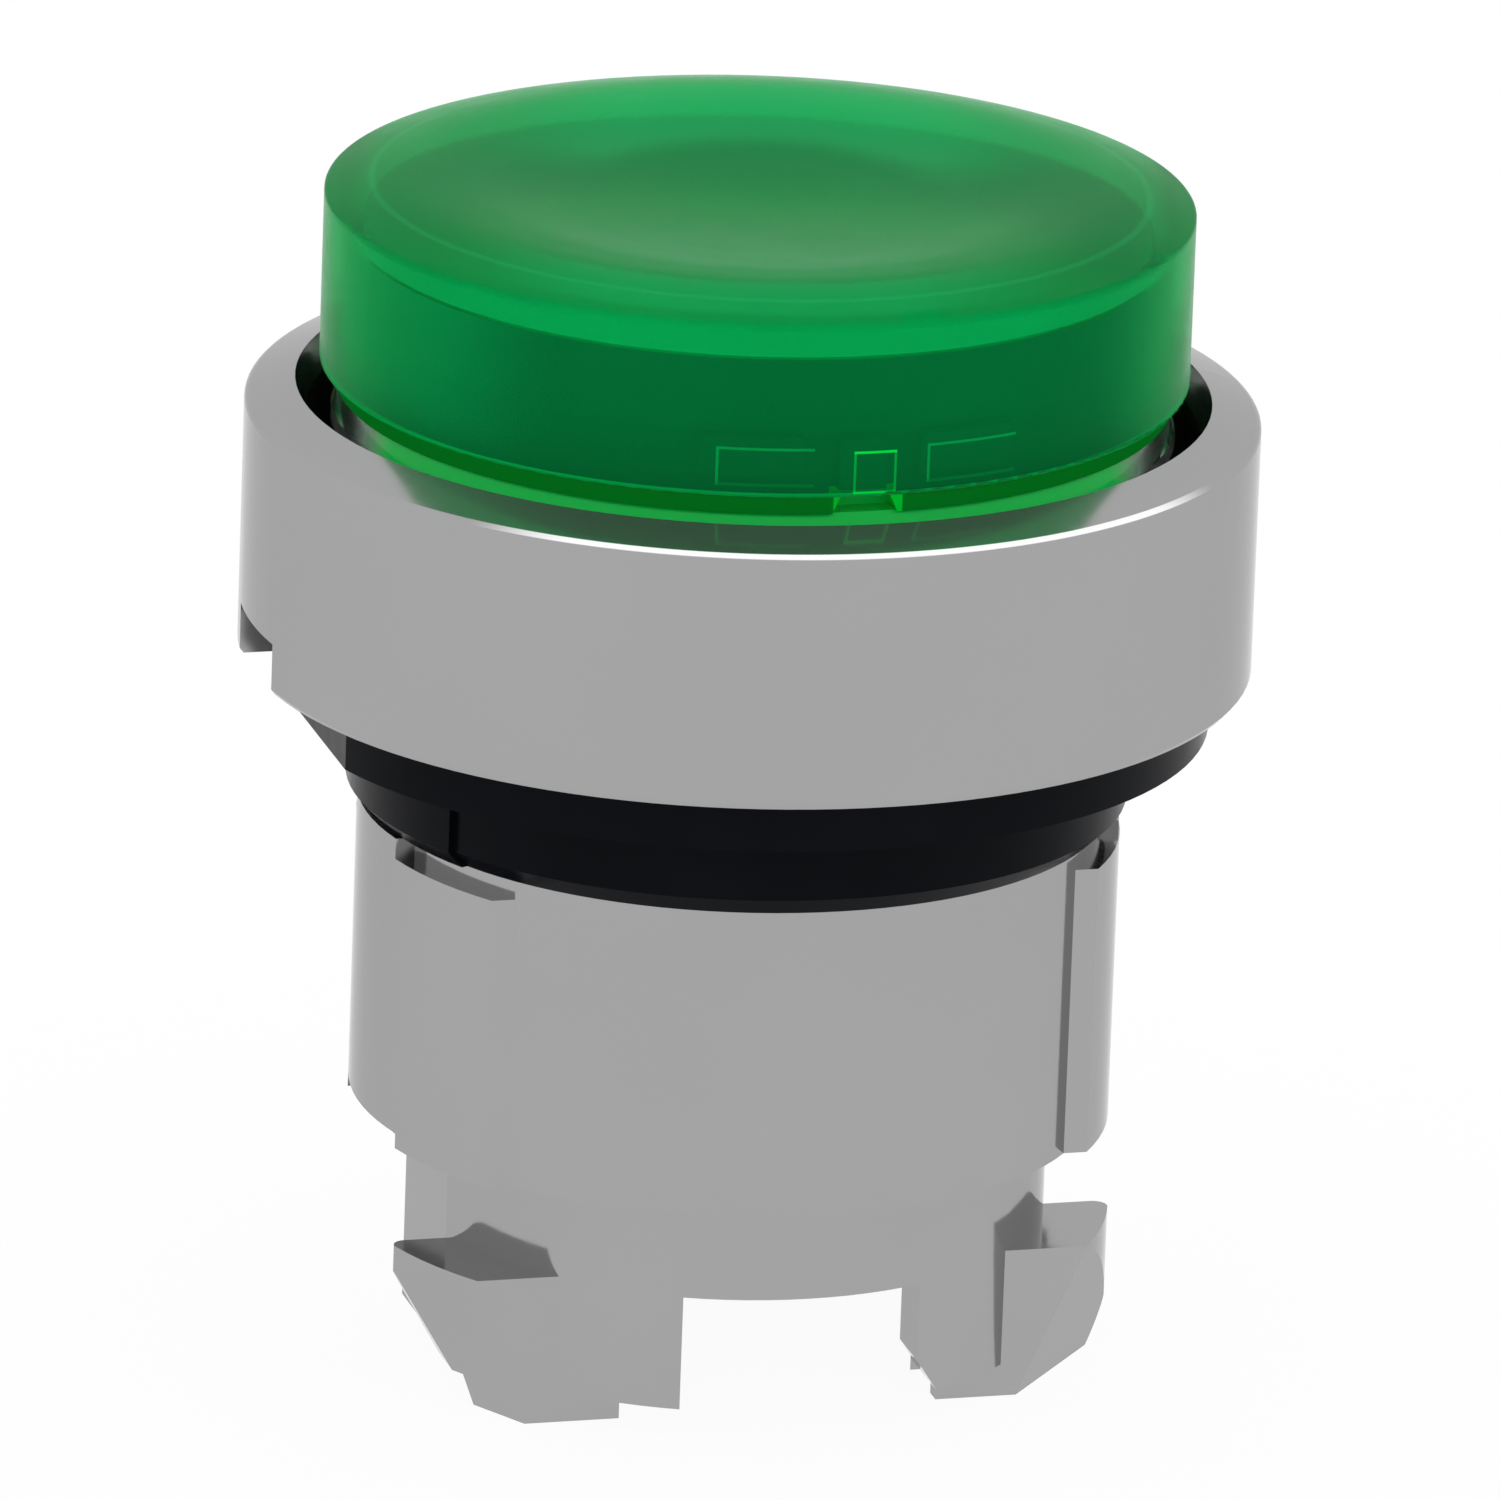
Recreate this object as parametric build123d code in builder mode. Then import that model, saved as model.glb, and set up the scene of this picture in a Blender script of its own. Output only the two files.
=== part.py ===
from build123d import *
import os

os.makedirs("parts", exist_ok=True)

# All sizes in millimetres. Z runs along the push axis, the panel seating plane is Z = 0
# and the lens key, the front gap and the draw direction of the casting are at -Y.

# Driving dimensions
travel = 3.8

# Lens and the round pieces that follow it outwards to the front ring
lens_r = 12.4
lens_side_h = 5.07
lens_neck_in = 0.5
lens_neck_h = 0.6
lens_wall = 1.3
lens_plate_h = 1.3
lens_crest_in = 2.75
lens_crest_w = 0.3
lens_crest_h = 0.48
lens_edge_r = 0.12
lens_skirt_r = 0.2
dish_deep = 0.64
lens_stand = 0.56
side_gap = 0.33
mouth_bevel_w = 0.34
mouth_bevel_h = 0.9
lip_h = 0.5
liner_gap = 0.35
liner_t = 0.55
ring_wall = 1.2
ring_edge_r = 0.25
ring_foot_h = 0.15
ring_foot_in = 0.12
ring_notch_w = 3.9
ring_notch_mid_y = 0.15
ring_notch_h = 1.5
ring_top_z = 9.0
crown_h = 0.5

# Key and catches of the lens
key_w = 1.35
key_h = 1.45
key_deep = 0.45
key_foot_w = 1.9
catch_from_deg = 8.5
catch_to_deg = 23.0
catch_above_skirt = 0.34
catch_h = 1.15
catch_deep = 0.4
catch_play = 0.05

# Clear carrier under the lens
carrier_in = 0.35
carrier_top_in = 0.32
carrier_flare_h = 0.61
carrier_h = 2.76
carrier_rim_t = 0.4
carrier_foot_h = 1.2

# Panel gasket
hole_spigot_r = 11.1
spigot_h = 2.75
spigot_wall = 0.7
spigot_round = 0.55
spigot_pad_rise = 0.2
spigot_pad_deg = 28.0
gasket_h = 1.6
gasket_over = 0.05
gasket_flat_in = 0.62

# Cast body
cup_gap = 0.35
cup_depth = 2.6
cup_floor_play = 0.3
land_under_spigot = 0.15
land_half_y = 6.33
land_low_z = -11.9
land_gap_h = 0.6
land_mid_half_y = 2.25
land_low_half_y = 2.75
land_low_rise = 0.45
seat_wall = 0.8
tail_wall = 1.7
tail_low_z = -18.2
tail_flat_in = 0.3
gap_half_w = 3.5
gap_top_z = -14.82
gap_corner_w = 0.7
gap_corner_h = 1.05
hook_rise = 1.85
hook_front_y = -6.4
hook_back_y = -2.65
hook_top_z = -14.74
hook_corner_r = 0.4
hook_slope_h = 1.6
side_slope_in = 2.5
left_slope_in = 1.37
right_slope_in = 1.5
left_corner_deg = -150.0
right_corner_deg = -40.0
foot_h = 0.95
foot_reach = 6.35
left_foot_back_y = -4.6
rear_hook_half_w = 2.6
bush_wall_left = 1.5
bush_shoulder = 0.5
bush_h = 4.2
seat_z = -12.6

# Rubber ring under the sleeve of the front ring
strip_h = 0.6
strip_w = 0.5

# Plunger and its bearings
running = 0.08
neck_spring_gap = 0.4
neck_wall = 1.6
neck_low_z = -3.0
neck_floor_h = 1.2
web_h = 1.0
web_edge_gap = 0.15
stem_step = 0.2
stem_wall = 1.0
stem_low_z = -15.3
rib_w = 2.0
rib_rise = 0.45
rib_top_z = -7.5
rib_side_play = 0.1
clip_groove_deep = 0.45
clip_h = 0.6
clip_end_h = 0.4
clip_rise = 0.8
clip_opening = 3.4
clip_play = 0.05
bush_chamfer = 0.25

# Lip seal and its clamping ring
lip_base_h = 0.6
lip_back_gap = 0.45
lip_tip_gap = 0.03
lip_tip_w = 0.32
lip_tip_h = 1.25
lip_root_w = 0.5
lip_under_h = 0.35
retainer_in = 0.3
retainer_h = 0.4
retainer_lip_gap = 0.15

# Return spring and its washers
rear_flange_h = 0.7
rear_flange_play = 0.05
washer_h = 0.4
washer_in_play = 0.25
washer_out_play = 0.15
wire_d = 0.8
spring_turns = 4.5

# Lamp optics
diffuser_h = 0.8
diffuser_edge_r = 0.2
diffuser_play = 0.05
guide_flange_h = 0.9
guide_side_gap = 2.0
guide_top_gap = 0.5
guide_dimple_in = 1.2
guide_dimple_h = 0.5
guide_ring_h = 0.8
guide_ring_w = 0.9

# Radii that follow, from the lens outwards
throat_r = lens_r + side_gap
mouth_r = throat_r + mouth_bevel_w
liner_in_r = lens_r + liner_gap
shell_r = liner_in_r + liner_t
ring_r = shell_r + ring_wall
lens_neck_r = lens_r - lens_neck_in
lens_in_r = lens_r - lens_wall
crest_out_r = lens_r - lens_crest_in
crest_in_r = crest_out_r - lens_crest_w
rim_out_r = lens_in_r - catch_play
rim_in_r = rim_out_r - carrier_rim_t
carrier_r = lens_r - carrier_in
carrier_top_r = carrier_r - carrier_top_in
web_r = rim_out_r - web_edge_gap
cup_r = carrier_r + cup_gap
gasket_r = shell_r + gasket_over
gasket_flat_x = gasket_r - gasket_flat_in

# Radii that follow, from the panel hole inwards
barrel_r = hole_spigot_r - spigot_wall
land_r = hole_spigot_r - land_under_spigot
bush_bore_r = barrel_r - bush_wall_left
spring_bore_r = bush_bore_r - bush_shoulder
tail_r = spring_bore_r + seat_wall
tail_bore_r = tail_r - tail_wall
tail_flat_x = tail_r - tail_flat_in
hook_r = tail_r + hook_rise
foot_in_x = hook_r - foot_reach
neck_r = spring_bore_r - neck_spring_gap
neck_in_r = neck_r - neck_wall
guide_low_r = neck_in_r - guide_side_gap
guide_top_r = neck_in_r - guide_top_gap
guide_dimple_r = guide_low_r - guide_dimple_in
stem_r = neck_in_r - stem_step
stem_in_r = stem_r - stem_wall
rib_reach = stem_r + rib_rise
clip_groove_r = stem_r - clip_groove_deep
clip_out_r = stem_r + clip_rise
washer_in_r = rib_reach + washer_in_play
washer_out_r = spring_bore_r - washer_out_play
spring_mean_r = (rib_reach + spring_bore_r) / 2
lip_in_r = neck_r + lip_back_gap
retainer_r = web_r - retainer_in
retainer_in_r = lip_in_r + lip_root_w + retainer_lip_gap
lip_base_r = (lip_in_r + retainer_r) / 2

# Heights that follow, from the crown of the front ring
crown_z = ring_top_z + crown_h
lip_top_z = crown_z - mouth_bevel_h
lip_low_z = lip_top_z - lip_h
lens_skirt_z = crown_z + lens_stand
lens_top_z = lens_skirt_z + lens_side_h
lens_crest_z = lens_top_z + lens_crest_h
lens_in_top_z = lens_top_z - lens_plate_h
carrier_top_z = lens_skirt_z - lens_neck_h
carrier_flare_z = carrier_top_z - carrier_flare_h
carrier_low_z = carrier_top_z - carrier_h
catch_low_z = lens_skirt_z + catch_above_skirt
catch_top_z = catch_low_z + catch_h
carrier_rim_top_z = catch_top_z + catch_play
web_low_z = carrier_low_z + carrier_foot_h
web_top_z = web_low_z + web_h
diffuser_top_z = web_top_z + diffuser_h
cup_floor_z = carrier_low_z - travel - cup_floor_play
cup_top_z = cup_floor_z + cup_depth
strip_top_z = cup_top_z + strip_h

# Heights that follow, from the panel down
land_top_z = -spigot_h - land_gap_h
bush_low_z = cup_floor_z - bush_h
well_floor_z = neck_low_z + neck_floor_h
guide_flange_top_z = well_floor_z + guide_flange_h
clip_low_z = stem_low_z + clip_end_h
clip_top_z = clip_low_z + clip_h
rear_bush_low_z = clip_top_z + clip_play
washer_low_z = seat_z + rear_flange_h
spring_low_z = washer_low_z + washer_h
spring_top_z = neck_low_z - washer_h
spring_h = spring_top_z - spring_low_z
foot_low_z = tail_low_z - foot_h
hook_slope_z = hook_top_z - hook_slope_h

# Reach of cutting shapes, and the overlap that welds a lug to its wall
far = 60.0
weld = 0.3


def turned(points):
    with BuildSketch(Plane.XZ) as section:
        with BuildLine():
            Polyline(*points, close=True)
        make_face()
    return section.sketch


def ring_sector(r_in, r_out, mid_deg, half_deg):
    with BuildSketch() as sector:
        with BuildLine():
            edge_a = PolarLine((0, 0), far, mid_deg - half_deg)
            edge_b = PolarLine((0, 0), far, mid_deg + half_deg)
            Line(edge_a @ 1, edge_b @ 1)
        make_face()
        Circle(r_out, mode=Mode.INTERSECT)
        Circle(r_in, mode=Mode.SUBTRACT)
    return sector.sketch


def slope_profile(high_z, low_x):
    with BuildSketch(Plane.XZ.offset(-far / 2)) as profile:
        with BuildLine():
            Polyline(
                (hook_r + 1, high_z),
                (hook_r, high_z),
                (low_x, foot_low_z),
                (low_x, foot_low_z - 1),
                (hook_r + 1, foot_low_z - 1),
                close=True,
            )
        make_face()
    return profile.sketch


def lifted(sketch, z):
    return sketch.moved(Location((0, 0, z)))


# Chromed front ring: a cup over the head of the body, with a bevelled mouth
with BuildPart() as bezel_ring:
    ring_points = [
        (shell_r, gasket_h),
        (ring_r - ring_foot_in, gasket_h),
        (ring_r, gasket_h + ring_foot_h),
        (ring_r, ring_top_z),
        (mouth_r, crown_z),
        (throat_r, lip_top_z),
        (throat_r, lip_low_z),
        (shell_r, lip_low_z),
    ]
    revolve(turned(ring_points), axis=Axis.Z)
    outer_edge = bezel_ring.edges().filter_by(GeomType.CIRCLE).filter_by_position(
        Axis.Z, ring_top_z - 0.01, ring_top_z + 0.01
    )
    fillet(outer_edge, ring_edge_r)
    # The notch shows which way the head is turned in its panel
    with Locations((-gasket_flat_x - far / 2, ring_notch_mid_y, gasket_h)):
        Box(far, ring_notch_w, 2 * ring_notch_h, mode=Mode.SUBTRACT)
bezel_ring.part.label = "bezel_ring"
export_step(bezel_ring.part, "parts/bezel_ring.step")

# Cast body: open cup at the top, spring bore, tail tube with hooks
with BuildPart() as barrel_body:
    body_points = [
        (cup_r, cup_top_z),
        (cup_r, cup_floor_z),
        (bush_bore_r, cup_floor_z),
        (bush_bore_r, bush_low_z),
        (spring_bore_r, bush_low_z),
        (spring_bore_r, seat_z),
        (tail_bore_r, seat_z),
        (tail_bore_r, tail_low_z),
        (tail_r, tail_low_z),
        (tail_r, land_low_z),
        (barrel_r, land_low_z),
        (barrel_r, gasket_h),
        (shell_r, gasket_h),
        (shell_r, cup_top_z),
    ]
    revolve(turned(body_points), axis=Axis.Z)
    # Two lands that run in the hole of the fixing collar
    with BuildSketch(Plane.XY.offset(land_low_z)):
        Circle(land_r)
        Circle(barrel_r - weld, mode=Mode.SUBTRACT)
        Rectangle(2 * far, 2 * land_half_y, mode=Mode.INTERSECT)
    extrude(amount=land_top_z - land_low_z)
    with BuildSketch(Plane.XY.offset(land_top_z)):
        Circle(land_r)
        Circle(barrel_r - weld, mode=Mode.SUBTRACT)
        Rectangle(2 * far, 2 * land_mid_half_y, mode=Mode.INTERSECT)
    extrude(amount=land_gap_h)
    # The lands stop short in the middle of their lower edge
    with BuildSketch(Plane.XY.offset(land_low_z)):
        Circle(far)
        Circle(barrel_r, mode=Mode.SUBTRACT)
        Rectangle(2 * far, 2 * land_low_half_y, mode=Mode.INTERSECT)
    extrude(amount=land_low_rise, mode=Mode.SUBTRACT)
    # Flat down the left of the tail, and the notch of the front ring carried into the rim
    with BuildSketch(Plane.XY.offset(tail_low_z)):
        with Locations((-tail_flat_x - far / 2, 0)):
            Rectangle(far, far)
    extrude(amount=land_low_z - tail_low_z, mode=Mode.SUBTRACT)
    with Locations((-gasket_flat_x - far / 2, ring_notch_mid_y, gasket_h)):
        Box(far, ring_notch_w, 2 * ring_notch_h, mode=Mode.SUBTRACT)
    # Gaps between the legs
    with BuildSketch(Plane.XZ):
        with Locations((0, (gap_top_z + tail_low_z - 1) / 2)):
            Rectangle(2 * gap_half_w, gap_top_z - tail_low_z + 1)
    extrude(amount=far, mode=Mode.SUBTRACT)
    with BuildSketch(Plane.XZ):
        with BuildLine():
            Polyline(
                (0, tail_low_z + gap_corner_h),
                (gap_half_w, tail_low_z + gap_corner_h),
                (gap_half_w + gap_corner_w, tail_low_z),
                (gap_half_w + gap_corner_w, foot_low_z),
                (0, foot_low_z),
                close=True,
            )
        make_face()
    extrude(amount=far, mode=Mode.SUBTRACT)
    # Two front hooks with sloping outer faces
    hook_mid_y = (hook_front_y + hook_back_y) / 2
    hook_len_y = hook_back_y - hook_front_y
    for side in (-1, 1):
        with BuildPart(mode=Mode.PRIVATE) as front_hook:
            with BuildSketch(Plane.XY.offset(foot_low_z)):
                with Locations((side * far / 2, hook_mid_y)):
                    Rectangle(far, hook_len_y)
                Circle(hook_r, mode=Mode.INTERSECT)
                Circle(tail_bore_r, mode=Mode.SUBTRACT)
            extrude(amount=hook_top_z - foot_low_z)
            fillet(
                front_hook.edges().filter_by(Axis.Z).filter_by_position(
                    Axis.Y, hook_back_y - 0.01, hook_back_y + 0.01
                ).sort_by(Axis.X)[-1 if side > 0 else 0],
                hook_corner_r,
            )
            corner_slope = extrude(
                slope_profile(hook_top_z, hook_r - (right_slope_in if side > 0 else left_slope_in)),
                amount=far,
                mode=Mode.PRIVATE,
            )
            corner_deg = right_corner_deg if side > 0 else left_corner_deg
            add(corner_slope.rotate(Axis.Z, corner_deg), mode=Mode.SUBTRACT)
            if side < 0:
                side_slope = extrude(
                    slope_profile(hook_top_z, hook_r - side_slope_in),
                    amount=far,
                    mode=Mode.PRIVATE,
                )
                add(side_slope.rotate(Axis.Z, 180), mode=Mode.SUBTRACT)
                with BuildSketch(Plane.XY.offset(foot_low_z)):
                    with Locations((0, left_foot_back_y + far / 2)):
                        Rectangle(2 * far, far)
                extrude(amount=foot_h, mode=Mode.SUBTRACT)
            with BuildSketch(Plane.XZ.offset(-far / 2)):
                with BuildLine():
                    Polyline(
                        (0, tail_low_z),
                        (side * foot_in_x, tail_low_z),
                        (side * foot_in_x, foot_low_z - 1),
                        (0, foot_low_z - 1),
                        close=True,
                    )
                make_face()
            extrude(amount=far, mode=Mode.SUBTRACT)
        add(front_hook.part)
    # Rear hook, opposite the front gap
    with BuildPart(mode=Mode.PRIVATE) as rear_hook:
        with BuildSketch(Plane.XY.offset(foot_low_z)):
            with Locations((0, far / 2)):
                Rectangle(2 * rear_hook_half_w, far)
            Circle(hook_r, mode=Mode.INTERSECT)
            Circle(tail_bore_r, mode=Mode.SUBTRACT)
        extrude(amount=hook_top_z - foot_low_z)
        with BuildSketch(Plane.YZ.offset(-far / 2)):
            with BuildLine():
                Polyline(
                    (hook_r + 1, hook_slope_z),
                    (hook_r, hook_slope_z),
                    (tail_r, tail_low_z),
                    (tail_r, foot_low_z - 1),
                    (hook_r + 1, foot_low_z - 1),
                    close=True,
                )
            make_face()
        extrude(amount=far, mode=Mode.SUBTRACT)
    add(rear_hook.part)
barrel_body.part.label = "barrel_body"
export_step(barrel_body.part, "parts/barrel_body.step")

# Rubber gasket with a spigot that centres the head in the panel hole
with BuildPart() as panel_gasket:
    gasket_points = [
        (barrel_r, -spigot_h),
        (hole_spigot_r - spigot_round, -spigot_h),
        (hole_spigot_r, -spigot_h + spigot_round),
        (hole_spigot_r, 0),
        (gasket_r, 0),
        (gasket_r, gasket_h),
        (barrel_r, gasket_h),
    ]
    revolve(turned(gasket_points), axis=Axis.Z)
    with Locations((-gasket_flat_x - far / 2, 0, gasket_h / 2)):
        Box(far, 2 * far, gasket_h, mode=Mode.SUBTRACT)
    # Raised pad on the left of the spigot
    with BuildPart(mode=Mode.PRIVATE) as spigot_pad:
        pad_r = hole_spigot_r + spigot_pad_rise
        pad_points = [
            (barrel_r, -spigot_h),
            (pad_r - spigot_round, -spigot_h),
            (pad_r, -spigot_h + spigot_round),
            (pad_r, 0),
            (barrel_r, 0),
        ]
        revolve(turned(pad_points), axis=Axis.Z)
        pad_span = ring_sector(barrel_r - weld, far, 180, spigot_pad_deg)
        extrude(lifted(pad_span, -spigot_h), amount=spigot_h, mode=Mode.INTERSECT)
    add(spigot_pad.part)
panel_gasket.part.label = "panel_gasket"
export_step(panel_gasket.part, "parts/panel_gasket.step")

# Black sleeve under the lip of the front ring
with BuildPart() as bore_liner:
    with BuildSketch(Plane.XY.offset(strip_top_z)):
        Circle(shell_r)
        Circle(liner_in_r, mode=Mode.SUBTRACT)
    extrude(amount=lip_low_z - strip_top_z)
bore_liner.part.label = "bore_liner"
export_step(bore_liner.part, "parts/bore_liner.step")

# Rubber ring between the sleeve and the rim of the body
with BuildPart() as bezel_seal:
    with BuildSketch(Plane.XY.offset(cup_top_z)):
        Circle(shell_r)
        Circle(shell_r - strip_w, mode=Mode.SUBTRACT)
    extrude(amount=strip_h)
bezel_seal.part.label = "bezel_seal"
export_step(bezel_seal.part, "parts/bezel_seal.step")

# Plain bearing for the neck of the plunger
with BuildPart() as guide_bush:
    with BuildSketch(Plane.XY.offset(bush_low_z)):
        Circle(bush_bore_r)
        Circle(neck_r + running, mode=Mode.SUBTRACT)
    extrude(amount=cup_floor_z - bush_low_z)
    chamfer(guide_bush.edges().filter_by(GeomType.CIRCLE).sort_by(SortBy.RADIUS)[:2], bush_chamfer)
guide_bush.part.label = "guide_bush"
export_step(guide_bush.part, "parts/guide_bush.step")

# Lip seal that wipes the neck, on the floor of the cup
with BuildPart() as lip_seal:
    lip_points = [
        (lip_in_r, cup_floor_z),
        (lip_base_r, cup_floor_z),
        (lip_base_r, cup_floor_z + lip_base_h),
        (lip_in_r + lip_root_w, cup_floor_z + lip_base_h),
        (neck_r + lip_tip_gap + lip_tip_w, cup_floor_z + lip_tip_h),
        (neck_r + lip_tip_gap, cup_floor_z + lip_tip_h),
        (lip_in_r, cup_floor_z + lip_under_h),
    ]
    revolve(turned(lip_points), axis=Axis.Z)
lip_seal.part.label = "lip_seal"
export_step(lip_seal.part, "parts/lip_seal.step")

# Pressed ring that clamps the lip seal
with BuildPart() as seal_retainer:
    retainer_points = [
        (lip_base_r, cup_floor_z),
        (retainer_r, cup_floor_z),
        (retainer_r, cup_floor_z + lip_base_h + retainer_h),
        (retainer_in_r, cup_floor_z + lip_base_h + retainer_h),
        (retainer_in_r, cup_floor_z + lip_base_h),
        (lip_base_r, cup_floor_z + lip_base_h),
    ]
    revolve(turned(retainer_points), axis=Axis.Z)
seal_retainer.part.label = "seal_retainer"
export_step(seal_retainer.part, "parts/seal_retainer.step")

# Rear bearing of the stem, which also seats the spring
with BuildPart() as rear_bush:
    rear_flange_r = spring_bore_r - rear_flange_play
    rear_points = [
        (stem_r + running, rear_bush_low_z),
        (tail_bore_r, rear_bush_low_z),
        (tail_bore_r, seat_z),
        (rear_flange_r, seat_z),
        (rear_flange_r, washer_low_z),
        (stem_r + running, washer_low_z),
    ]
    revolve(turned(rear_points), axis=Axis.Z)
    with Locations((0, (rib_reach + rib_side_play) / 2, seat_z)):
        Box(rib_w + 2 * rib_side_play, rib_reach + rib_side_play, far, mode=Mode.SUBTRACT)
rear_bush.part.label = "rear_bush"
export_step(rear_bush.part, "parts/rear_bush.step")

# Steel washers at both ends of the spring
with BuildPart() as lower_washer:
    with BuildSketch(Plane.XY.offset(washer_low_z)):
        Circle(washer_out_r)
        Circle(washer_in_r, mode=Mode.SUBTRACT)
    extrude(amount=washer_h)
lower_washer.part.label = "lower_washer"
export_step(lower_washer.part, "parts/lower_washer.step")

with BuildPart() as upper_washer:
    with BuildSketch(Plane.XY.offset(spring_top_z)):
        Circle(neck_r)
        Circle(washer_in_r, mode=Mode.SUBTRACT)
    extrude(amount=washer_h)
upper_washer.part.label = "upper_washer"
export_step(upper_washer.part, "parts/upper_washer.step")

# Return spring, its ends ground flat against the washers
with BuildPart() as return_spring:
    coil_rise = spring_h - 0.4 * wire_d
    coil_low_z = spring_low_z + 0.2 * wire_d
    with BuildLine() as coil_line:
        Helix(
            pitch=coil_rise / spring_turns,
            height=coil_rise,
            radius=spring_mean_r,
            center=(0, 0, coil_low_z),
        )
    coil_start = Plane(
        origin=coil_line.line @ 0,
        z_dir=coil_line.line % 0,
    )
    with BuildSketch(coil_start):
        Circle(wire_d / 2)
    sweep(path=coil_line.line, is_frenet=True)
    with Locations((0, 0, (spring_low_z + spring_top_z) / 2)):
        Box(far, far, spring_h, mode=Mode.INTERSECT)
return_spring.part.label = "return_spring"
export_step(return_spring.part, "parts/return_spring.step")

# Moving sleeve: neck, lens web and hollow stem that takes the lamp
with BuildPart() as plunger_sleeve:
    sleeve_points = [
        (stem_in_r, stem_low_z),
        (stem_r, stem_low_z),
        (stem_r, neck_low_z),
        (neck_r, neck_low_z),
        (neck_r, web_low_z),
        (web_r, web_low_z),
        (web_r, web_top_z),
        (neck_in_r, web_top_z),
        (neck_in_r, well_floor_z),
        (stem_in_r, well_floor_z),
    ]
    revolve(turned(sleeve_points), axis=Axis.Z)
    # Rib that stops the plunger turning
    with BuildSketch(Plane.XY.offset(stem_low_z)):
        with Locations((0, far / 2)):
            Rectangle(rib_w, far)
        Circle(rib_reach, mode=Mode.INTERSECT)
        Circle(stem_r - weld, mode=Mode.SUBTRACT)
    extrude(amount=rib_top_z - stem_low_z)
    # Groove for the stop clip
    with BuildSketch(Plane.XY.offset(clip_low_z)):
        Circle(far)
        Circle(clip_groove_r, mode=Mode.SUBTRACT)
    extrude(amount=clip_h, mode=Mode.SUBTRACT)
plunger_sleeve.part.label = "plunger_sleeve"
export_step(plunger_sleeve.part, "parts/plunger_sleeve.step")

# Stop clip in the groove of the stem
with BuildPart() as stop_clip:
    with BuildSketch(Plane.XY.offset(clip_low_z)):
        Circle(clip_out_r)
        Circle(clip_groove_r, mode=Mode.SUBTRACT)
        with Locations((0, far / 2)):
            Rectangle(clip_opening, far, mode=Mode.SUBTRACT)
    extrude(amount=clip_h)
stop_clip.part.label = "stop_clip"
export_step(stop_clip.part, "parts/stop_clip.step")

# Clear light guide that stands in the neck above the lamp
with BuildPart() as light_guide:
    guide_points = [
        (0, well_floor_z + guide_dimple_h),
        (guide_dimple_r, well_floor_z),
        (neck_in_r, well_floor_z),
        (neck_in_r, guide_flange_top_z),
        (guide_low_r, guide_flange_top_z),
        (guide_top_r, web_top_z),
        (0, web_top_z),
    ]
    revolve(turned(guide_points), axis=Axis.Z)
light_guide.part.label = "light_guide"
export_step(light_guide.part, "parts/light_guide.step")

# Snap ring that keeps the light guide down
with BuildPart() as guide_ring:
    with BuildSketch(Plane.XY.offset(guide_flange_top_z)):
        Circle(neck_in_r)
        Circle(neck_in_r - guide_ring_w, mode=Mode.SUBTRACT)
    extrude(amount=guide_ring_h)
guide_ring.part.label = "guide_ring"
export_step(guide_ring.part, "parts/guide_ring.step")

# Opal disc that spreads the light
with BuildPart() as diffuser_disc:
    with BuildSketch(Plane.XY.offset(web_top_z)):
        Circle(rim_in_r - diffuser_play)
    extrude(amount=diffuser_h)
    fillet(diffuser_disc.edges().sort_by(Axis.Z)[-1], diffuser_edge_r)
diffuser_disc.part.label = "diffuser_disc"
export_step(diffuser_disc.part, "parts/diffuser_disc.step")

# Clear ring that carries the lens, with two catches each side of the key
catch_mid_deg = (catch_from_deg + catch_to_deg) / 2
catch_half_deg = (catch_to_deg - catch_from_deg) / 2
with BuildPart() as lens_carrier:
    carrier_points = [
        (web_r, carrier_low_z),
        (carrier_r, carrier_low_z),
        (carrier_r, carrier_flare_z),
        (carrier_top_r, carrier_top_z),
        (rim_out_r, carrier_top_z),
        (rim_out_r, carrier_rim_top_z),
        (rim_in_r, carrier_rim_top_z),
        (rim_in_r, web_top_z),
        (web_r, web_top_z),
    ]
    revolve(turned(carrier_points), axis=Axis.Z)
    for mid_deg in (-90 - catch_mid_deg, -90 + catch_mid_deg, 90 - catch_mid_deg, 90 + catch_mid_deg):
        catch = ring_sector(
            rim_out_r - weld,
            lens_in_r + catch_deep - catch_play,
            mid_deg,
            catch_half_deg - 0.4,
        )
        extrude(
            lifted(catch, catch_low_z + catch_play),
            amount=catch_top_z - catch_low_z - 2 * catch_play,
        )
lens_carrier.part.label = "lens_carrier"
export_step(lens_carrier.part, "parts/lens_carrier.step")

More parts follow.
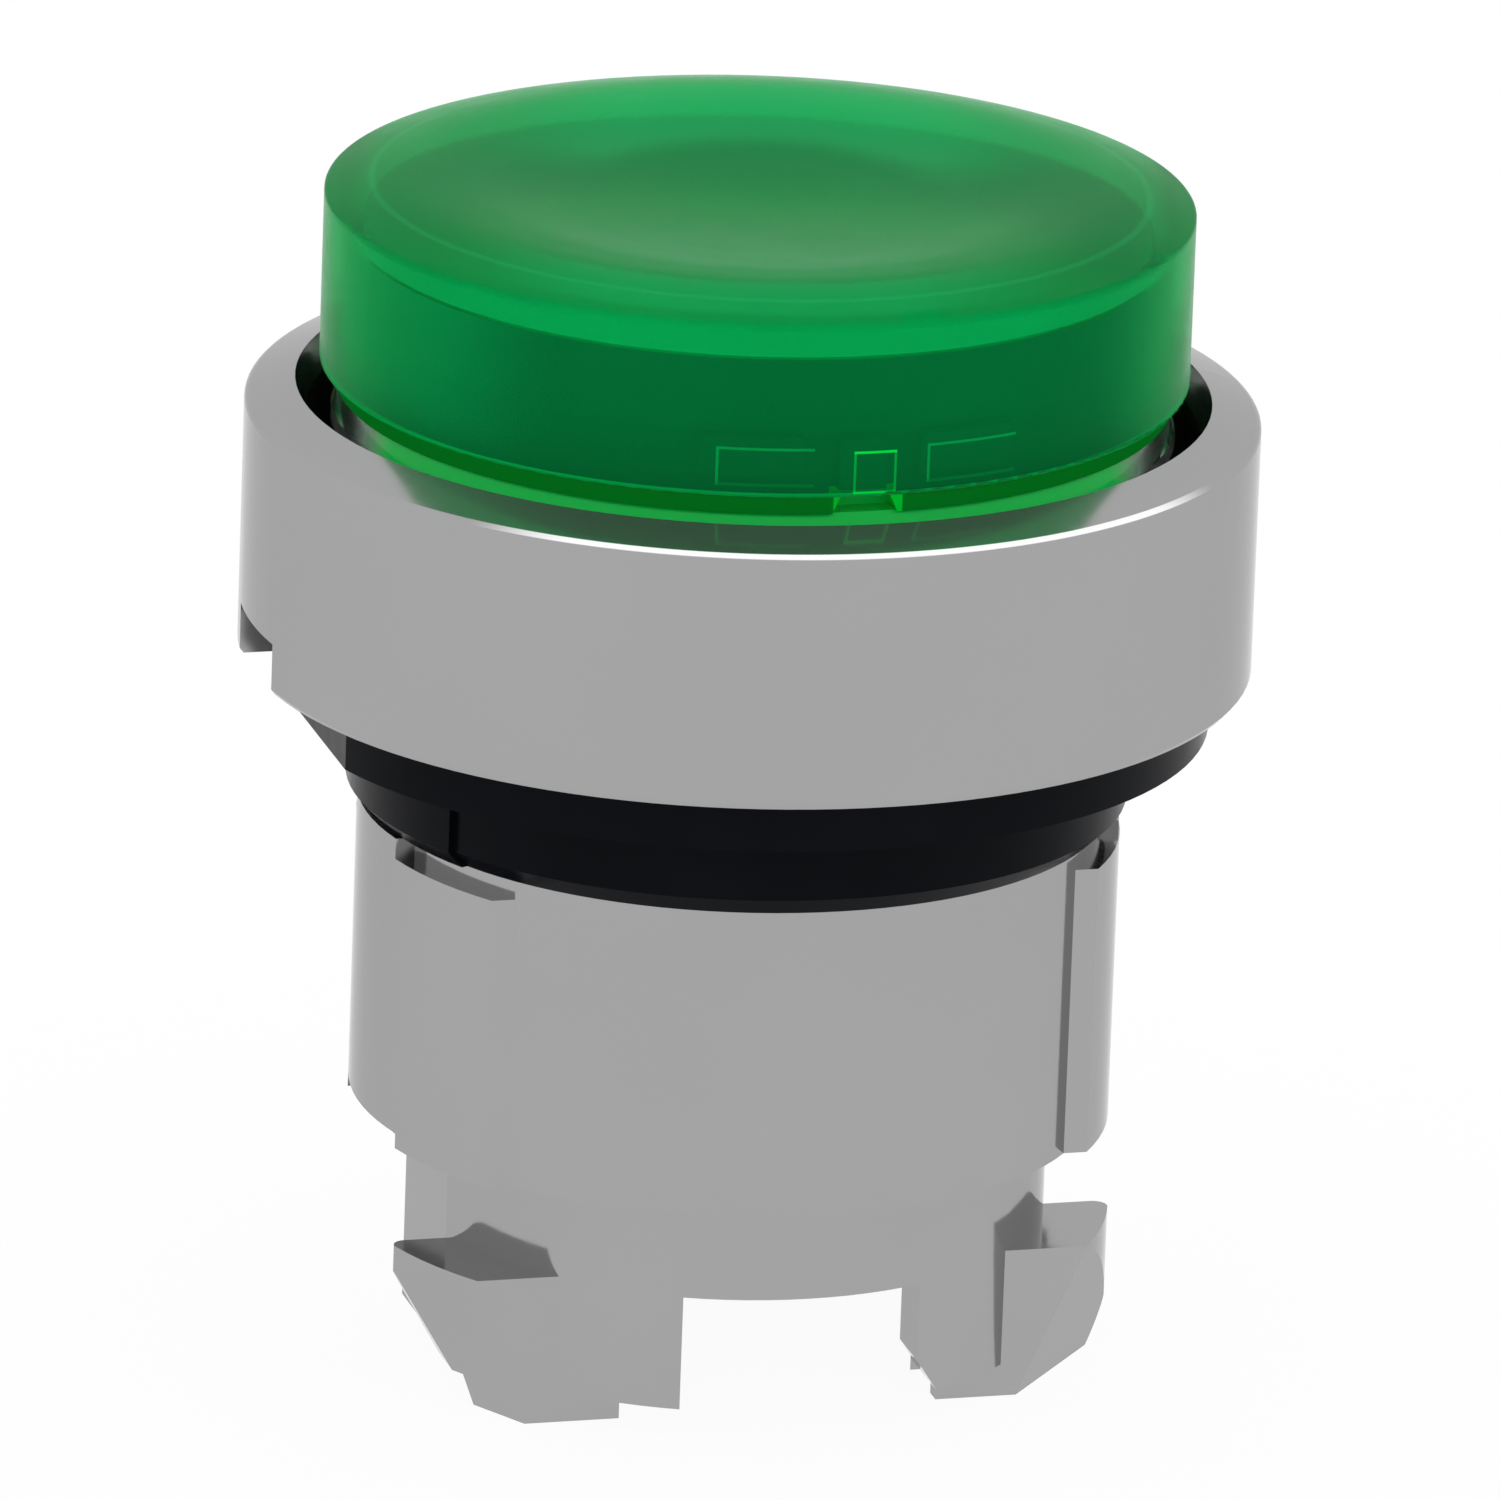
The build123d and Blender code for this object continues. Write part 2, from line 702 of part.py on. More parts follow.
# Hollow lens with a dished face
with BuildPart() as lens_cap:
    lens_points = [
        (0, lens_in_top_z),
        (lens_in_r, lens_in_top_z),
        (lens_in_r, carrier_top_z),
        (lens_neck_r, carrier_top_z),
        (lens_neck_r, lens_skirt_z),
        (lens_r, lens_skirt_z),
        (lens_r, lens_crest_z),
        (0, lens_crest_z),
    ]
    revolve(turned(lens_points), axis=Axis.Z)
    skirt_edge = lens_cap.edges().filter_by(GeomType.CIRCLE).filter_by_position(
        Axis.Z, lens_skirt_z - 0.01, lens_skirt_z + 0.01
    )
    fillet(skirt_edge.sort_by(SortBy.RADIUS)[-1], lens_skirt_r)
    # The face dips in the middle, rises to a narrow crest and falls away to the edge
    with BuildSketch(Plane.XZ) as face_cut:
        with BuildLine():
            Spline(
                (0, lens_crest_z - dish_deep),
                (crest_in_r * 0.52, lens_crest_z - dish_deep * 0.63),
                (crest_in_r * 0.71, lens_crest_z - dish_deep * 0.36),
                (crest_in_r, lens_crest_z),
                tangents=((1, 0), (1, 0)),
            )
            Line((crest_in_r, lens_crest_z), (crest_out_r, lens_crest_z))
            Spline(
                (crest_out_r, lens_crest_z),
                ((crest_out_r + lens_r) / 2, lens_crest_z - lens_crest_h * 0.3),
                (lens_r, lens_top_z),
                tangents=((1, 0), (1, -0.3)),
            )
            Polyline(
                (lens_r, lens_top_z),
                (lens_r + 1, lens_top_z),
                (lens_r + 1, lens_crest_z + 1),
                (0, lens_crest_z + 1),
                (0, lens_crest_z - dish_deep),
            )
        make_face()
    revolve(axis=Axis.Z, mode=Mode.SUBTRACT)
    rim_edge = lens_cap.edges().filter_by(GeomType.CIRCLE).filter_by_position(
        Axis.Z, lens_top_z - 0.01, lens_top_z + 0.01
    )
    fillet(rim_edge.sort_by(SortBy.RADIUS)[-1], lens_edge_r)
    for mid_deg in (-90 - catch_mid_deg, -90 + catch_mid_deg, 90 - catch_mid_deg, 90 + catch_mid_deg):
        recess = ring_sector(
            lens_in_r - weld, lens_in_r + catch_deep, mid_deg, catch_half_deg
        )
        extrude(
            lifted(recess, catch_low_z),
            amount=catch_top_z - catch_low_z,
            mode=Mode.SUBTRACT,
        )
    # Key recess inside the wall, and its open notch through the neck
    with BuildSketch(Plane.XZ):
        with Locations((0, lens_skirt_z + key_h / 2)):
            Rectangle(key_w, key_h)
    extrude(amount=lens_in_r + key_deep, mode=Mode.SUBTRACT)
    with BuildSketch(Plane.XZ):
        with BuildLine():
            Polyline(
                (-key_w / 2, lens_skirt_z),
                (key_w / 2, lens_skirt_z),
                (key_foot_w / 2, carrier_top_z),
                (-key_foot_w / 2, carrier_top_z),
                close=True,
            )
        make_face()
    extrude(amount=lens_r + 1, mode=Mode.SUBTRACT)
lens_cap.part.label = "lens_cap"
export_step(lens_cap.part, "parts/lens_cap.step")
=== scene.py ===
import math
from functools import cached_property

import bmesh
import bpy
from mathutils import Matrix, Vector


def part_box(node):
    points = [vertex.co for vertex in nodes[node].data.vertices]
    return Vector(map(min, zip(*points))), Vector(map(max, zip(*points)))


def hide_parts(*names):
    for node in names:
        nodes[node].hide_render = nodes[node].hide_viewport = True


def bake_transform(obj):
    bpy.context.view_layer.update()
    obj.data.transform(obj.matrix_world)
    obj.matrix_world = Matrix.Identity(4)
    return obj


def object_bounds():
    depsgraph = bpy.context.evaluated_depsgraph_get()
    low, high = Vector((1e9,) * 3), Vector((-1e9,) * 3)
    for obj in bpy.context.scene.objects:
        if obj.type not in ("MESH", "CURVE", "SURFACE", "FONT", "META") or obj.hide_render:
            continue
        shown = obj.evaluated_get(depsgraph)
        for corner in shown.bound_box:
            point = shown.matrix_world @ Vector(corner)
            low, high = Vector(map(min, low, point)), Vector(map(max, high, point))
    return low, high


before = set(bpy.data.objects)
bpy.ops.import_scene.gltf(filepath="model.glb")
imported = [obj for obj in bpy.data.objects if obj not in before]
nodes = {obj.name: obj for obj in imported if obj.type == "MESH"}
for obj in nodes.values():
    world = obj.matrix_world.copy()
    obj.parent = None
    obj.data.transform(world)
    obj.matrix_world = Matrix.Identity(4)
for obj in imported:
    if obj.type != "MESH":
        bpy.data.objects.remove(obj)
cad_low, cad_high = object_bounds()

# Camera of the photograph, in degrees, metres, pixels and millimetres of sensor
CAM_AZIMUTH = -15.8
CAM_ELEVATION = 18.1
CAM_ROLL = 2.1
CAM_DISTANCE = 0.6
CAM_SHIFT_X = -0.00027
CAM_SHIFT_Y = 0.0013
PHOTO_WIDTH = 1500
PIXELS_PER_MM = 34.94
SENSOR_WIDTH = 36.0

# Directions on the part that go to the photo's right and away from its camera
TO_RIGHT = (0.962, -0.272)
TO_BACK = (0.272, 0.962)

# The return spring as part.py makes it, in metres. The centre of the wire ends this share of
# its radius short of the ground end.
SPRING_WIRE_R = 0.0004
SPRING_TURNS = 4.5
SPRING_GROUND = 0.4
SIDES_AROUND = 24
STEPS_A_TURN = 40

FLOOR_R = 1.2
FLOOR_SIDES = 96
FLOOR_GAP = 0.00002
FLOOR_GLOW = 0.94

# The part of a noise texture's values that its colours and roughness are spread over
NOISE_LOW = 0.3
NOISE_HIGH = 0.7
# Scales of the slow drift in colour and of the fine grain of clear plastic, how far the
# colour of clear plastic drifts, and how strongly the grain shows as bumps
METAL_CLOUD = 140.0
SOLID_CLOUD = 260.0
CLEAR_CLOUD = 180.0
CLEAR_GRAIN = 900.0
CLEAR_SPREAD = 0.03
METAL_BUMP = 0.2
SOLID_BUMP = 0.3
# Keeps the edges of the metals, where they are seen at a low angle, from turning white
METAL_EDGE_TINT = (0.72, 0.72, 0.72, 1)

# Sockets of a Mix node that mixes colours
MIX_INPUTS = (6, 7)
MIX_OUTPUT = 2


def material(name):
    mat = bpy.data.materials.new(name)
    mat.use_nodes = True
    tree = mat.node_tree
    tree.nodes.clear()
    out = tree.nodes.new("ShaderNodeOutputMaterial")
    return mat, tree, out


def add(tree, kind, **sockets):
    node = tree.nodes.new(kind)
    for key, value in sockets.items():
        node.inputs[key.replace("_", " ")].default_value = value
    return node


def noise(tree, scale, detail=3.0, rough=0.55):
    coord = add(tree, "ShaderNodeTexCoord")
    tex = add(tree, "ShaderNodeTexNoise", Scale=scale, Detail=detail, Roughness=rough)
    tree.links.new(coord.outputs["Object"], tex.inputs["Vector"])
    return tex.outputs["Fac"]


def two_tone(tree, value, dark, light):
    ramp = tree.nodes.new("ShaderNodeValToRGB")
    first, last = ramp.color_ramp.elements
    first.position, last.position = NOISE_LOW, NOISE_HIGH
    first.color = (*dark, 1)
    last.color = (*light, 1)
    tree.links.new(value, ramp.inputs["Fac"])
    return ramp.outputs["Color"]


def cloudy(tree, colour, spread, scale):
    """A colour that drifts a little to both sides of its own value."""
    dark = tuple(c * (1 - spread) for c in colour)
    light = tuple(c * (1 + spread) for c in colour)
    return two_tone(tree, noise(tree, scale), dark, light)


def bump(tree, height, strength, distance):
    node = add(tree, "ShaderNodeBump", Strength=strength, Distance=distance)
    tree.links.new(height, node.inputs["Height"])
    return node.outputs["Normal"]


def surface(tree, shader, out, grain, rough):
    """Spread the roughness over the grain, and make the shader the surface."""
    node = add(
        tree, "ShaderNodeMapRange",
        From_Min=NOISE_LOW, From_Max=NOISE_HIGH, To_Min=rough[0], To_Max=rough[1],
    )
    tree.links.new(grain, node.inputs["Value"])
    tree.links.new(node.outputs["Result"], shader.inputs["Roughness"])
    tree.links.new(shader.outputs["BSDF"], out.inputs["Surface"])


def maths(tree, kind, *values):
    """A Math node. Each value is a number or the socket of another node."""
    node = tree.nodes.new("ShaderNodeMath")
    node.operation = kind
    for i, value in enumerate(values):
        if isinstance(value, (int, float)):
            node.inputs[i].default_value = value
        else:
            tree.links.new(value, node.inputs[i])
    return node.outputs[0]


def times(tree, product, *factors):
    for factor in factors:
        product = maths(tree, "MULTIPLY", product, factor)
    return product


def largest(tree, top, *others):
    for other in others:
        top = maths(tree, "MAXIMUM", top, other)
    return top


def rest_of(tree, value):
    return maths(tree, "SUBTRACT", 1.0, value)


def step(tree, value, low, high):
    """0 below low, 1 above high, and a smooth rise between them."""
    node = add(tree, "ShaderNodeMapRange", From_Min=low, From_Max=high)
    node.interpolation_type = "SMOOTHSTEP"
    tree.links.new(value, node.inputs["Value"])
    return node.outputs["Result"]


def blend_of(tree, share, first, second):
    """The first colour where the share is 0, the second where it is 1."""
    node = tree.nodes.new("ShaderNodeMix")
    node.data_type = "RGBA"
    tree.links.new(share, node.inputs["Factor"])
    for i, value in zip(MIX_INPUTS, (first, second)):
        if isinstance(value, tuple):
            node.inputs[i].default_value = (*value, 1)
        else:
            tree.links.new(value, node.inputs[i])
    return node.outputs[MIX_OUTPUT]


class Spot:
    """Coordinates fixed to the part, in metres and radians, that zones are set by."""

    # The painted shade of the lens's inner wall is darkest this far to the right of the axis
    DARKEST = 0.0015

    def __init__(self, tree):
        self.tree = tree
        coord = add(tree, "ShaderNodeTexCoord")
        split = add(tree, "ShaderNodeSeparateXYZ")
        tree.links.new(coord.outputs["Object"], split.inputs[0])
        self.x, self.y, self.z = split.outputs

    def sum_of(self, first, second):
        return maths(self.tree, "ADD", first, second)

    def along(self, direction):
        x_part = times(self.tree, self.x, direction[0])
        return self.sum_of(x_part, times(self.tree, self.y, direction[1]))

    @cached_property
    def away(self):
        """Distance from the push axis."""
        squares = self.sum_of(times(self.tree, self.x, self.x), times(self.tree, self.y, self.y))
        return maths(self.tree, "SQRT", squares)

    @cached_property
    def front(self):
        """Towards -Y, where the key is."""
        return times(self.tree, self.y, -1.0)

    @cached_property
    def turn(self):
        """Angle around the push axis, 0 at the key."""
        return maths(self.tree, "ARCTAN2", self.x, self.front)

    @cached_property
    def right(self):
        return self.along(TO_RIGHT)

    @cached_property
    def aside(self):
        """Distance to the left or right of the axis, as the photo shows it."""
        return maths(self.tree, "ABSOLUTE", self.right)

    @cached_property
    def off_darkest(self):
        """Distance to the left or right of where the painted shade of the inner wall is darkest.
        """
        return maths(self.tree, "ABSOLUTE", self.sum_of(self.right, -self.DARKEST))

    @cached_property
    def behind(self):
        return self.along(TO_BACK)

    @cached_property
    def before(self):
        return times(self.tree, self.behind, -1.0)


def zone(spot, **limits):
    """1 where all the limits hold and 0 elsewhere. Each is named after what it limits.

    Two numbers are a rise from 0 to 1 between them, or a fall if the first is the larger.
    Three are a band from the first to the second, with edges as soft as the third says.
    """
    tree = spot.tree
    shares = []
    for name, limit in limits.items():
        value = getattr(spot, name)
        if len(limit) == 3:
            low, high, soft = limit
            shares.append(step(tree, value, low - soft, low))
            shares.append(rest_of(tree, step(tree, value, high, high + soft)))
        elif limit[0] < limit[1]:
            shares.append(step(tree, value, limit[0], limit[1]))
        else:
            shares.append(rest_of(tree, step(tree, value, limit[1], limit[0])))
    return times(tree, *shares)


def metal(name, base, spread, rough, grain, grain_height, matt=0.0, painted_highlight=None):
    """A metal with a share of matt surface, and a white painted highlight in the zone whose limits
    are given.
    """
    mat, tree, out = material(name)
    shader = add(
        tree, "ShaderNodeBsdfPrincipled", Metallic=1.0 - matt, Specular_Tint=METAL_EDGE_TINT,
    )
    colour = cloudy(tree, base, spread, METAL_CLOUD)
    if painted_highlight:
        colour = blend_of(tree, zone(Spot(tree), **painted_highlight), colour, (1.0, 1.0, 1.0))
    tree.links.new(colour, shader.inputs["Base Color"])
    fine = noise(tree, grain, detail=4.0, rough=0.6)
    tree.links.new(bump(tree, fine, METAL_BUMP, grain_height), shader.inputs["Normal"])
    surface(tree, shader, out, fine, rough)
    return mat


def solid(name, dark, light, rough, level, grain, grain_height):
    mat, tree, out = material(name)
    shader = add(tree, "ShaderNodeBsdfPrincipled", Specular_IOR_Level=level)
    colour = two_tone(tree, noise(tree, SOLID_CLOUD), dark, light)
    tree.links.new(colour, shader.inputs["Base Color"])
    fine = noise(tree, grain, detail=5.0, rough=0.6)
    tree.links.new(bump(tree, fine, SOLID_BUMP, grain_height), shader.inputs["Normal"])
    surface(tree, shader, out, fine, rough)
    return mat


def clear(name, dark, light, ior, rough):
    mat, tree, out = material(name)
    shader = add(tree, "ShaderNodeBsdfPrincipled", IOR=ior, Transmission_Weight=1.0)
    colour = two_tone(tree, noise(tree, CLEAR_CLOUD), dark, light)
    tree.links.new(colour, shader.inputs["Base Color"])
    surface(tree, shader, out, noise(tree, CLEAR_GRAIN), rough)
    return mat


# The skin of the dish and of the rim, above the side of the lens
LENS_TOP = (0.01492, 0.01494)

LENS_ZONES = {
    # The hollow of the lens: painted shade on its inner wall that lightens towards the flanks, and
    # painted white light under its top
    "inner_wall": {"z": (0.0, 0.01372, 0.00006), "away": (0.0, 0.01158, 0.00008)},
    "painted_lit_flanks": {"off_darkest": (0.0066, 0.0132)},
    "ceiling": {"z": (0.01378, 0.01388, 0.00004), "away": (0.0, 0.01105, 0.00006)},
    # The side, its outermost skin and its far left and right
    "side": {"z": (0.0, 0.0149, 0.0001), "away": (0.0122, 0.01235)},
    "skin": {"away": (0.01234, 0.01238)},
    "far_side": {"aside": (0.0096, 0.0122)},
    # The lower edge of the skirt, with painted highlights, and the neck under it, painted green as
    # if lit through the lens
    "brink": {"z": (0.01006, 0.0102, 0.00006), "away": (0.0121, 0.0122)},
    "skirt_foot": {"z": (0.01003, 0.01012, 0.00004), "away": (0.0119, 0.0123, 0.00005)},
    "neck": {"z": (0.0, 0.01001, 0.00002), "away": (0.01166, 0.0117)},
    # Painted highlights: the slopes that face the camera carry the most light
    "far_slope": {
        "z": LENS_TOP, "away": (0.0061, 0.0092, 0.0016),
        "behind": (0.001, 0.004), "aside": (0.0105, 0.0035),
    },
    "near_rim": {
        "z": LENS_TOP, "away": (0.0102, 0.0116, 0.0006),
        "before": (0.004, 0.009), "aside": (0.0105, 0.0035),
    },
    # Painted light and shade: a highlight on the crest, shade on the dish to the left and right of
    # it, and darker outer ends
    "halo": {"z": LENS_TOP, "away": (0.01102, 0.01112, 0.0001)},
    "wings": {"z": LENS_TOP, "away": (0.0086, 0.0112, 0.0012), "aside": (0.0035, 0.0105)},
    "ends": {"z": LENS_TOP, "aside": (0.0103, 0.0122)},
    # The key, painted as bright green light: its wider foot, the outline of its slot and the two
    # ends of that outline
    "key_foot": {
        "turn": (-0.075, 0.09, 0.004), "away": (0.0108, 0.011), "z": (0.01008, 0.01004),
    },
    "key_outside": {"turn": (-0.04, 0.058, 0.0025), "z": (0.0102, 0.01142, 0.00003)},
    "key_inside": {"turn": (-0.034, 0.052, 0.0025), "z": (0.01028, 0.01134, 0.00003)},
    "key_top": {"z": (0.01134, 0.01138)},
    "key_bottom": {"z": (0.01028, 0.01024)},
}

# The two front catch pockets as painted highlight and shade outlines on the lens skin: left and
# right in radians, low and high in metres, then how thick their lines are and how soft
POCKETS = (
    (-0.354, -0.133, 0.01043, 0.01153),
    (0.134, 0.361, 0.01043, 0.01153),
)
POCKET_TOP_LINE = 0.00005
POCKET_BASE_LINE = 0.00006
POCKET_LEFT_LINE = 0.004
LINE_SOFT = 0.00003
TURN_SOFT = 0.0025

# The skin tint is the lens's own green; the other tints are painted light and shade
LENS_TINTS = {
    "skin": (0.001, 0.42, 0.092),
    "wall": (0.3, 0.14, 0.16),
    "wall_flank": (0.9, 0.8, 0.9),
    "edge": (0.02, 0.62, 0.2),
    "edge_deep": (0.01, 0.36, 0.09),
    "line": (0.002, 0.5, 0.09),
    # Painted light: bright green on the key's foot and outline
    "key": (0.001, 0.9, 0.06),
    "shade": (0.001, 0.12, 0.02),
    "painted_skirt_light": (0.3, 0.9, 0.6),
    "neck": (0.002, 0.33, 0.025),
    # Painted light: white under the top of the lens stands in for light inside the hollow
    "ceiling": (1.0, 1.0, 1.0),
}
LENS_IOR = 1.062
LENS_ROUGH = (0.2, 0.26)
# Light lost in the side of the lens, and what its far left and right lose on top
SIDE_LOSS = 0.25
FAR_SIDE_LOSS = 0.3
# The painted glow of the far slope beside that of the near rim, the strength of the key's painted
# outline and what its two ends have on top
FAR_SLOPE_GLOW = 1.3
KEY_LINE = 0.4
KEY_LINE_ENDS = 0.45


def pocket_lines(spot):
    """Painted outlines of the catch pockets: highlights on their lit edges, and painted shade
    along the one below.
    """
    lit, dark = [], []
    for left, right, low, high in POCKETS:
        across = (left, right, TURN_SOFT)
        lit.append(zone(spot, turn=across, z=(high - POCKET_TOP_LINE, high, LINE_SOFT)))
        left_edge = (left, left + POCKET_LEFT_LINE, TURN_SOFT)
        lit.append(zone(spot, turn=left_edge, z=(low, high, LINE_SOFT)))
        dark.append(zone(spot, turn=across, z=(low, low + POCKET_BASE_LINE, LINE_SOFT)))
    return largest(spot.tree, *lit), largest(spot.tree, *dark)


def lens_material(name):
    mat, tree, out = material(name)
    shader = add(tree, "ShaderNodeBsdfPrincipled", IOR=LENS_IOR)
    spot = Spot(tree)
    zones = {key: zone(spot, **limits) for key, limits in LENS_ZONES.items()}
    glow = maths(tree, "MULTIPLY_ADD", zones["far_slope"], FAR_SLOPE_GLOW, zones["near_rim"])
    wall = blend_of(tree, zones["painted_lit_flanks"], LENS_TINTS["wall"], LENS_TINTS["wall_flank"])

    # The catch pockets and the key are painted as fine highlight and shade lines on the skin
    lit_lines, dark_lines = (times(tree, lines, zones["skin"]) for lines in pocket_lines(spot))
    key_ends = maths(tree, "ADD", zones["key_top"], zones["key_bottom"])
    key_line = times(
        tree,
        maths(tree, "SUBTRACT", zones["key_outside"], zones["key_inside"]),
        maths(tree, "MULTIPLY_ADD", key_ends, KEY_LINE_ENDS, KEY_LINE),
        zones["skin"],
    )

    colour = cloudy(tree, LENS_TINTS["skin"], CLEAR_SPREAD, CLEAR_CLOUD)
    loss = maths(tree, "MULTIPLY_ADD", zones["far_side"], FAR_SIDE_LOSS, SIDE_LOSS)
    through = rest_of(tree, times(tree, zones["side"], loss))
    # Each layer covers those before it: its zone, how strong it is, its tint, and how much
    # light passes there
    for area, strength, tint, passes in (
        (zones["ceiling"], 1.0, LENS_TINTS["ceiling"], 0.5),
        (zones["skirt_foot"], 1.0, LENS_TINTS["painted_skirt_light"], 0.3),
        (zones["neck"], 1.0, LENS_TINTS["neck"], 0.2),
        (glow, 0.3, LENS_TINTS["edge"], 0.35),
        (zones["wings"], 0.34, LENS_TINTS["shade"], 0.5),
        (zones["ends"], 0.55, LENS_TINTS["edge_deep"], 0.2),
        (zones["halo"], 0.2, LENS_TINTS["edge"], 0.2),
        (zones["brink"], 0.85, LENS_TINTS["line"], 0.1),
        (zones["inner_wall"], 1.0, wall, 0.1),
        (zones["key_foot"], 1.0, LENS_TINTS["key"], 0.1),
        (lit_lines, 0.45, LENS_TINTS["line"], 0.0),
        (key_line, 1.0, LENS_TINTS["key"], 0.0),
        (dark_lines, 0.6, LENS_TINTS["shade"], 0.1),
    ):
        share = times(tree, area, strength)
        colour = blend_of(tree, share, colour, tint)
        change = maths(tree, "SUBTRACT", passes, through)
        through = maths(tree, "MULTIPLY_ADD", share, change, through)
    tree.links.new(colour, shader.inputs["Base Color"])
    tree.links.new(through, shader.inputs["Transmission Weight"])
    surface(tree, shader, out, noise(tree, CLEAR_GRAIN), LENS_ROUGH)
    return mat


def carrier_material(name, body, painted_lens_glow, flare_through, lit_zone, ior, rough):
    """Clear plastic with green light from the lens painted into the zone given."""
    mat, tree, out = material(name)
    shader = add(tree, "ShaderNodeBsdfPrincipled", IOR=ior)
    lit = zone(Spot(tree), **lit_zone)
    own = cloudy(tree, body, CLEAR_SPREAD, CLEAR_CLOUD)
    tree.links.new(blend_of(tree, lit, own, painted_lens_glow), shader.inputs["Base Color"])
    through = maths(tree, "MULTIPLY_ADD", lit, flare_through - 1.0, 1.0)
    tree.links.new(through, shader.inputs["Transmission Weight"])
    surface(tree, shader, out, noise(tree, CLEAR_GRAIN), rough)
    return mat


materials = {
    "cast_metal": metal(
        "cast_metal", (0.37, 0.37, 0.371), spread=0.012, rough=(0.08, 0.12),
        grain=2600.0, grain_height=0.000003, matt=0.06,
    ),
    # A white highlight is painted along the front of the ring's outer top edge
    "bright_metal": metal(
        "bright_metal", (0.37, 0.37, 0.371), spread=0.008, rough=(0.1, 0.13),
        grain=1800.0, grain_height=0.0000015, matt=0.11,
        painted_highlight={"away": (0.0143, 0.01433), "z": (0.00893, 0.00896), "front": (0.0094, 0.0118)},
    ),
    "black_rubber": solid(
        "black_rubber", (0.0022, 0.0026, 0.004), (0.0032, 0.0037, 0.0055),
        rough=(0.2, 0.28), level=0.04, grain=1500.0, grain_height=0.000012,
    ),
    "black_plastic": solid(
        "black_plastic", (0.004, 0.004, 0.004), (0.006, 0.006, 0.006),
        rough=(0.35, 0.5), level=0.1, grain=1500.0, grain_height=0.00001,
    ),
    "spring_steel": metal(
        "spring_steel", (0.5, 0.49, 0.47), spread=0.03, rough=(0.12, 0.2),
        grain=3000.0, grain_height=0.000004,
    ),
    "green_lens": lens_material("green_lens"),
    # Green light from the lens is painted on the flare under the lens, apart from its far left and
    # right
    "carrier_plastic": carrier_material(
        "carrier_plastic", body=(0.82, 0.86, 0.84), painted_lens_glow=(0.008, 0.85, 0.12),
        flare_through=0.15, lit_zone={"z": (0.0086, 0.0089), "aside": (0.0115, 0.0101)},
        ior=1.22, rough=(0.04, 0.07),
    ),
    "clear_plastic": clear(
        "clear_plastic", (0.80, 0.84, 0.82), (0.84, 0.88, 0.86), ior=1.12, rough=(0.04, 0.07),
    ),
    "opal_plastic": solid(
        "opal_plastic", (0.78, 0.80, 0.78), (0.84, 0.86, 0.84),
        rough=(0.35, 0.45), level=0.4, grain=1200.0, grain_height=0.000005,
    ),
    "white_plastic": solid(
        "white_plastic", (0.72, 0.72, 0.71), (0.78, 0.78, 0.77),
        rough=(0.35, 0.5), level=0.4, grain=1200.0, grain_height=0.000008,
    ),
}

slot_of = {
    "barrel_body": "cast_metal",
    "bezel_ring": "bright_metal",
    "bezel_seal": "black_rubber",
    "bore_liner": "black_plastic",
    "panel_gasket": "black_rubber",
    "guide_bush": "black_plastic",
    "lip_seal": "black_rubber",
    "seal_retainer": "spring_steel",
    "rear_bush": "black_plastic",
    "lower_washer": "spring_steel",
    "return_spring": "spring_steel",
    "lens_cap": "green_lens",
    "lens_carrier": "carrier_plastic",
    "diffuser_disc": "opal_plastic",
    "plunger_sleeve": "white_plastic",
    "light_guide": "clear_plastic",
    "guide_ring": "white_plastic",
    "stop_clip": "spring_steel",
    "upper_washer": "spring_steel",
}
for name, obj in nodes.items():
    mat = materials[slot_of[name]]
    if not obj.data.materials:
        obj.data.materials.append(mat)
    for i in range(len(obj.data.materials)):
        obj.data.materials[i] = mat


def linked(name, bm):
    """An object in the scene with the mesh that bm holds."""
    mesh = bpy.data.meshes.new(name)
    bm.to_mesh(mesh)
    bm.free()
    obj = bpy.data.objects.new(name, mesh)
    bpy.context.scene.collection.objects.link(obj)
    return obj


def coil_spring(wire_r, turns):
    """The return spring, built as a coil in place of the rigid CAD one."""
    low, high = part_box("return_spring")
    mean_r = high.x - wire_r
    rise = (high.z - low.z) - 2 * SPRING_GROUND * wire_r
    start_z = low.z + SPRING_GROUND * wire_r
    steps = round(turns * STEPS_A_TURN)
    pitch = rise / (turns * math.tau)
    bm = bmesh.new()
    rings = []
    for i in range(steps + 1):
        turn = turns * math.tau * i / steps
        out = Vector((math.cos(turn), math.sin(turn), 0))
        along = Vector((-math.sin(turn) * mean_r, math.cos(turn) * mean_r, pitch)).normalized()
        across = along.cross(out)
        centre = out * mean_r + Vector((0, 0, start_z + rise * i / steps))
        ring = []
        for j in range(SIDES_AROUND):
            angle = math.tau * j / SIDES_AROUND
            point = centre + out * (wire_r * math.cos(angle)) + across * (wire_r * math.sin(angle))
            # The ends are ground flat against the washers
            point.z = min(max(point.z, low.z), high.z)
            ring.append(bm.verts.new(point))
        rings.append(ring)
    for first, second in zip(rings, rings[1:]):
        for j in range(SIDES_AROUND):
            k = (j + 1) % SIDES_AROUND
            bm.faces.new((first[j], first[k], second[k], second[j]))
    bm.faces.new(list(reversed(rings[0])))
    bm.faces.new(rings[-1])
    bmesh.ops.recalc_face_normals(bm, faces=bm.faces)
    for face in bm.faces:
        face.smooth = len(face.verts) == 4
    obj = linked("coil_spring", bm)
    obj.data.materials.append(materials["spring_steel"])
    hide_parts("return_spring")
    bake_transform(obj)


